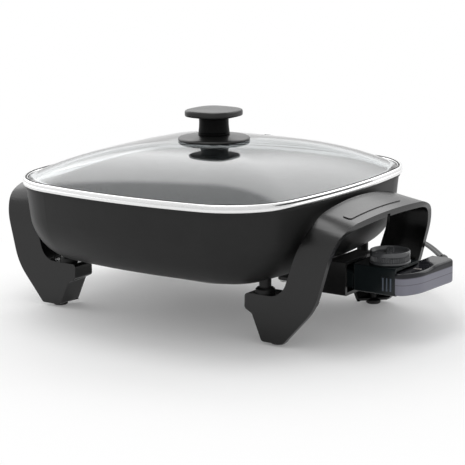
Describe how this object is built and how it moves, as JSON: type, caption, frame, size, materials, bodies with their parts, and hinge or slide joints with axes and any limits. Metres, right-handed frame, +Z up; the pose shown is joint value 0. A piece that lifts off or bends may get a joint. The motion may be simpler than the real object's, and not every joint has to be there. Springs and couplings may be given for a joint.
{
  "type": "electric skillet",
  "caption": "Deep square electric skillet on arched black handles, with a domed glass lid, a knob and a plug-in heat control with a dial, probe and mains cord.",
  "frame": {"origin": "on the table, straight below the middle of the lid knob", "axes": "+Z up, +X towards the heat control, -Y towards the front, which is the near side in the picture"},
  "size_m": [0.4257, 0.4186, 0.1932],
  "materials": {
    "pan_coating": "cast aluminium with a satin black non-stick coat",
    "stand_plastic": "satin",
    "handle_plastic": "glossy black phenolic",
    "zinc": "zinc plated",
    "foot_rubber": "matte",
    "sheath": "dull steel",
    "raw_aluminium": "cast",
    "ceramic": null,
    "control_black": "gloss",
    "control_grey": "glossy charcoal grey",
    "polished_steel": "polished steel",
    "lid_glass": "clear tempered",
    "knob_plastic": "satin",
    "brass": "plain",
    "lens_amber": "tinted",
    "lamp_glass": "clear",
    "cord_black": "smooth black PVC",
    "dial_smoke": "smoke grey, slightly see-through"
  },
  "bodies": {
    "base": {"pan": "pan_coating", "post_collars": "stand_plastic", "right_handle": "handle_plastic", "left_handle": "handle_plastic", "handle_screws": "zinc", "rubber_feet": "foot_rubber", "heating_element": "sheath", "element_channel": "raw_aluminium", "terminal_pins": "sheath", "terminal_insulators": "ceramic", "probe_guide": "raw_aluminium", "terminal_shroud": "control_black", "shroud_screws": "zinc"},
    "lid": {"lid_rim": "polished_steel", "lid_glass": "lid_glass", "vent_eyelet": "polished_steel", "knob_gasket": "foot_rubber", "knob_skirt": "knob_plastic", "lid_knob": "knob_plastic", "knob_washer": "zinc", "knob_screw": "zinc"},
    "heat_control": {"control_front": "control_black", "control_upper_shell": "control_grey", "control_lower_shell": "control_grey", "shell_screws": "zinc", "probe_rod": "sheath", "terminal_sockets": "brass", "thermostat_frame": "sheath", "contact_stack": "ceramic", "contact_blades": "brass", "pilot_lens": "lens_amber", "pilot_lamp": "lamp_glass", "strain_relief": "cord_black", "power_cord": "cord_black", "cord_coil": "cord_black", "cord_tie": "stand_plastic", "plug_body": "cord_black", "plug_blades": "brass"},
    "dial": {"control_dial": "dial_smoke", "dial_shaft": "sheath"}
  },
  "joints": [
    {"name": "lid_lift", "type": "slide", "parent": "base", "child": "lid", "axis": [0, 0, 1], "range_m": [0, 0.2]},
    {"name": "control_unplug", "type": "slide", "parent": "base", "child": "heat_control", "axis": [1, 0, 0], "range_m": [0, 0.1]},
    {"name": "dial_turn", "type": "hinge", "parent": "heat_control", "child": "dial", "pos_m": [0.1937, 0, 0.0717], "axis": [0, 0, 1], "range_deg": [-270, 0]}
  ]
}
